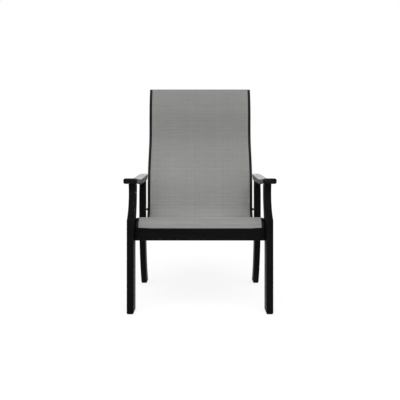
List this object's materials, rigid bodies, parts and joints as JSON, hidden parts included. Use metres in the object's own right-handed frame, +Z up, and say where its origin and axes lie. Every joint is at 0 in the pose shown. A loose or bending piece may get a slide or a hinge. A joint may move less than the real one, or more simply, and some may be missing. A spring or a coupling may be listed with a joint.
{
  "type": "sling patio chair",
  "caption": "High-backed patio armchair: grey woven sling on curved aluminium rails, held in a frame of thick black plastic boards with scooped front legs and sabre rear legs.",
  "frame": {"origin": "on the floor, under the middle of the chair's bounding box", "axes": "+Z up, +Y towards the back of the chair, +X to the right of someone who faces the chair"},
  "size_m": [0.6988, 0.7866, 1.1265],
  "materials": {
    "black_board": "solid-colour polymer board, smooth satin faces with rounded edges",
    "black_aluminium": "satin black powder coat on an extrusion",
    "grey_sling": "plain woven vinyl-coated polyester mesh, light grey with fine slubs",
    "black_nylon": "moulded nylon",
    "black_steel": "black oxide on stainless steel"
  },
  "bodies": {
    "root": {"front_leg_right": "black_board", "front_leg_left": "black_board", "rear_leg_right": "black_board", "rear_leg_left": "black_board", "arm_right": "black_board", "arm_left": "black_board", "sling_rail_right": "black_aluminium", "sling_rail_left": "black_aluminium", "spline_rod_right": "black_nylon", "spline_rod_left": "black_nylon", "top_rail_cap_right": "black_nylon", "top_rail_cap_left": "black_nylon", "front_rail_cap_right": "black_nylon", "front_rail_cap_left": "black_nylon", "front_foot_pad_right": "black_nylon", "front_foot_pad_left": "black_nylon", "rear_foot_pad_right": "black_nylon", "rear_foot_pad_left": "black_nylon", "top_spreader_screw_right": "black_steel", "top_spreader_screw_left": "black_steel", "seat_spreader_screw_right": "black_steel", "seat_spreader_screw_left": "black_steel", "front_rail_screw_right": "black_steel", "front_rail_screw_left": "black_steel", "rear_rail_screw_right": "black_steel", "rear_rail_screw_left": "black_steel", "front_crossbar_screw_1_right": "black_steel", "front_crossbar_screw_1_left": "black_steel", "front_crossbar_screw_2_right": "black_steel", "front_crossbar_screw_2_left": "black_steel", "rear_crossbar_screw_1_right": "black_steel", "rear_crossbar_screw_1_left": "black_steel", "rear_crossbar_screw_2_right": "black_steel", "rear_crossbar_screw_2_left": "black_steel", "arm_screw_1_right": "black_steel", "arm_screw_1_left": "black_steel", "arm_screw_2_right": "black_steel", "arm_screw_2_left": "black_steel", "arm_screw_3_right": "black_steel", "arm_screw_3_left": "black_steel", "arm_screw_4_right": "black_steel", "arm_screw_4_left": "black_steel", "lumbar_bolt_right": "black_steel", "lumbar_bolt_left": "black_steel", "lumbar_washer_right": "black_steel", "lumbar_washer_left": "black_steel", "front_crossbar": "black_board", "rear_crossbar": "black_board", "sling": "grey_sling", "top_spreader": "black_aluminium", "lumbar_spreader": "black_aluminium", "seat_spreader": "black_aluminium"}
  },
  "joints": []
}
